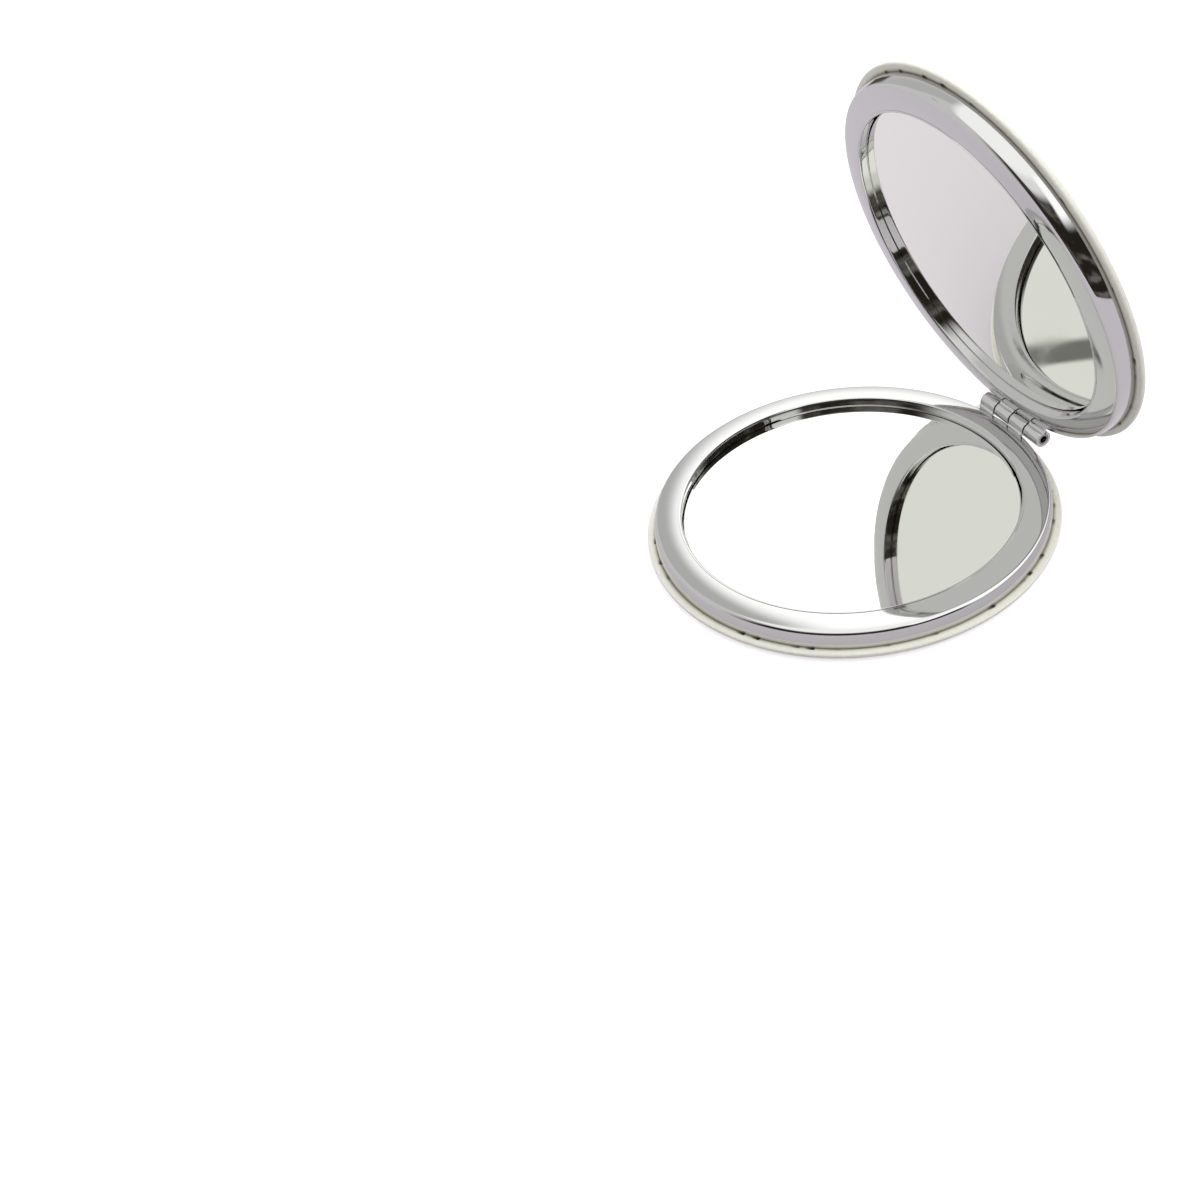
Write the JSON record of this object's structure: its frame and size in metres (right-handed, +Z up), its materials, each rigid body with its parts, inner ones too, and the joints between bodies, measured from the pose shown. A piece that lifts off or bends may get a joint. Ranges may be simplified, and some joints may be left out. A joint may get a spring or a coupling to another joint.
{
  "type": "compact mirror",
  "caption": "Round folding pocket compact: padded white leather covers, chromed pressed frames with a flat mirror in each half, joined by a friction hinge with rolled knuckles.",
  "frame": {"origin": "centre of the flat underside of the base's padded cover, on the table", "axes": "+Z up from the table, +Y from the base's centre towards the hinge, +X along the hinge axis"},
  "size_m": [0.07, 0.0741, 0.0733],
  "materials": {
    "leather": "satin",
    "foam": "matte",
    "board": "matte",
    "tape": "satin",
    "chrome": "polished",
    "mirror": "polished",
    "steel": "satin"
  },
  "bodies": {
    "base": {"base_leather_cover": "leather", "base_foam_pad": "foam", "base_cover_board": "board", "base_cover_tape": "tape", "base_frame": "chrome", "base_mirror_tape": "tape", "base_mirror": "mirror", "hinge_pin": "steel"},
    "lid": {"lid_leather_cover": "leather", "lid_foam_pad": "foam", "lid_cover_board": "board", "lid_cover_tape": "tape", "lid_frame": "chrome", "lid_mirror_tape": "tape", "lid_mirror": "mirror"}
  },
  "joints": [
    {"name": "lid_hinge", "type": "hinge", "parent": "base", "child": "lid", "pos_m": [0, 0.03462, 0.005], "axis": [-1, 0, 0], "range_deg": [-75, 92]}
  ]
}
